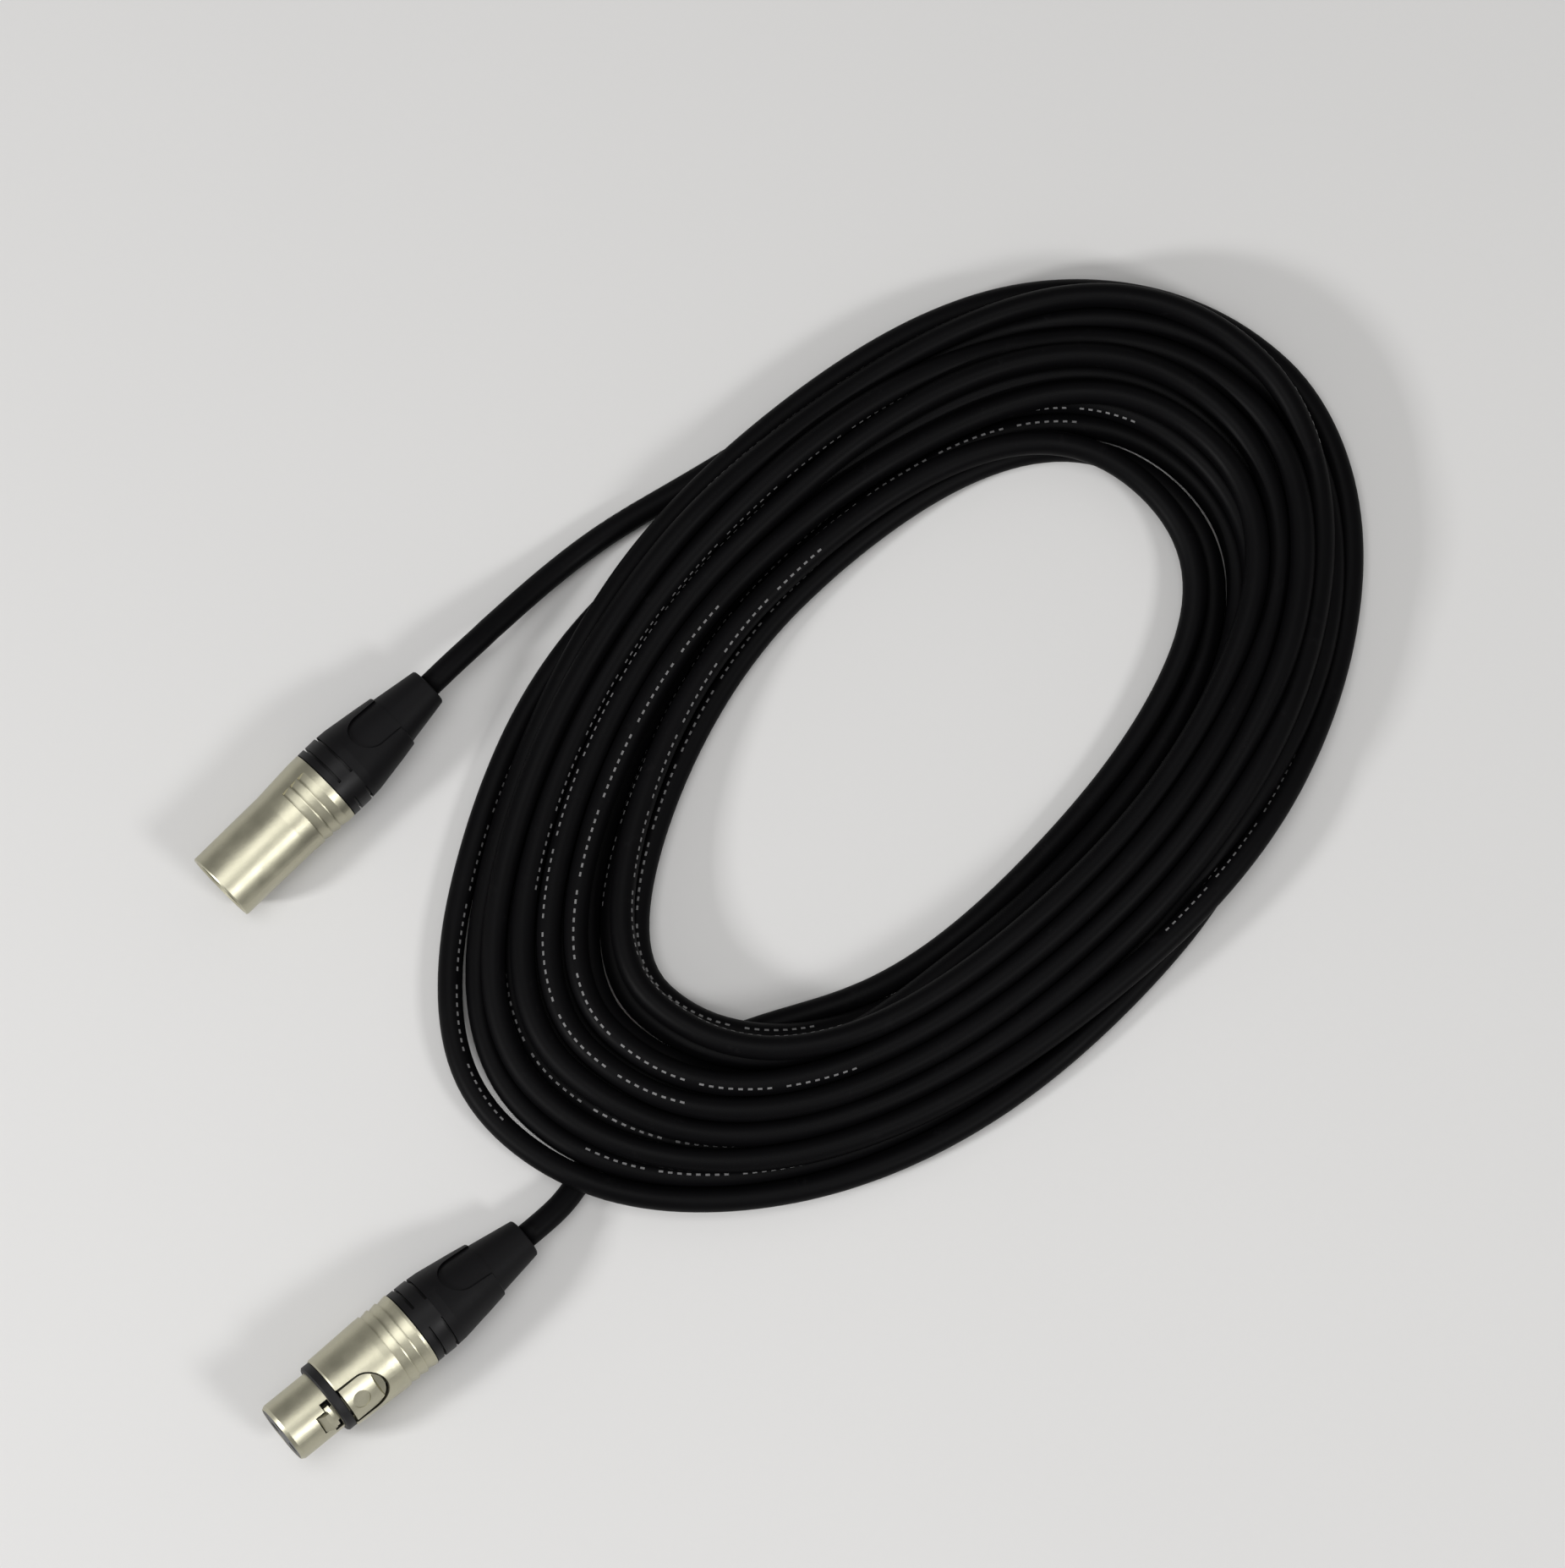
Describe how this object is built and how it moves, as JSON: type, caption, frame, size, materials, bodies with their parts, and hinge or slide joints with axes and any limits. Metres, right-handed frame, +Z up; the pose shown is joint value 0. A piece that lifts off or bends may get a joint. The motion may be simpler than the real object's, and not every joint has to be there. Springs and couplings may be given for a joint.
{
  "type": "xlr cable coil",
  "caption": "Black balanced microphone cable wound into a loose oval coil, with a nickel three-pin male and three-socket female cable connector and soft tapered boots.",
  "frame": {"origin": "on the floor, under the middle of the whole assembly's box", "axes": "+Z up from the floor, +X along the coil's long axis away from the connectors, +Y towards the male connector's side"},
  "size_m": [0.3635, 0.185, 0.0229],
  "materials": {
    "nickel": "satin nickel plate with a fine grain, slightly warm",
    "insert_plastic": "black moulded thermoplastic",
    "silver_contact": "silver plated turned pin",
    "gold_contact": "gold plated socket",
    "spring_metal": "plain spring steel",
    "chuck_plastic": "grey acetal",
    "bushing_plastic": "black moulded nylon, slightly satin",
    "boot_rubber": "matte black thermoplastic rubber",
    "gasket_rubber": "black rubber",
    "jacket": "matte black flexible PVC jacket",
    "white_insulation": "white polyethylene insulation",
    "blue_insulation": "blue polyethylene insulation",
    "copper": "bare tinned copper strands"
  },
  "bodies": {
    "cable": {"male_shell": "nickel", "male_insert": "insert_plastic", "male_pin_1": "silver_contact", "male_pin_2": "silver_contact", "male_pin_3": "silver_contact", "male_ground_contact": "spring_metal", "male_chuck": "chuck_plastic", "male_bushing": "bushing_plastic", "male_boot": "boot_rubber", "male_core_hot": "white_insulation", "male_core_cold": "blue_insulation", "male_shield_drain": "copper", "male_cable_end": "jacket", "female_shell": "nickel", "female_insert": "insert_plastic", "female_contact_1": "gold_contact", "female_contact_2": "gold_contact", "female_contact_3": "gold_contact", "female_ground_contact": "spring_metal", "latch_pivot_pin": "spring_metal", "latch_spring": "spring_metal", "female_ring": "gasket_rubber", "female_chuck": "chuck_plastic", "female_bushing": "bushing_plastic", "female_boot": "boot_rubber", "female_core_hot": "white_insulation", "female_core_cold": "blue_insulation", "female_shield_drain": "copper", "female_cable_end": "jacket", "male_tail": "jacket", "female_tail": "jacket", "cable_coil": "jacket"},
    "latch": {"female_latch": "nickel"}
  },
  "joints": [
    {"name": "latch_press", "type": "hinge", "parent": "cable", "child": "latch", "pos_m": [-0.15285, -0.03081, 0.01635], "axis": [-0.1344, -0.7342, -0.6655], "range_deg": [0, 5], "stiffness_Nm_per_rad": 0.3, "springref_deg": -2.86}
  ]
}
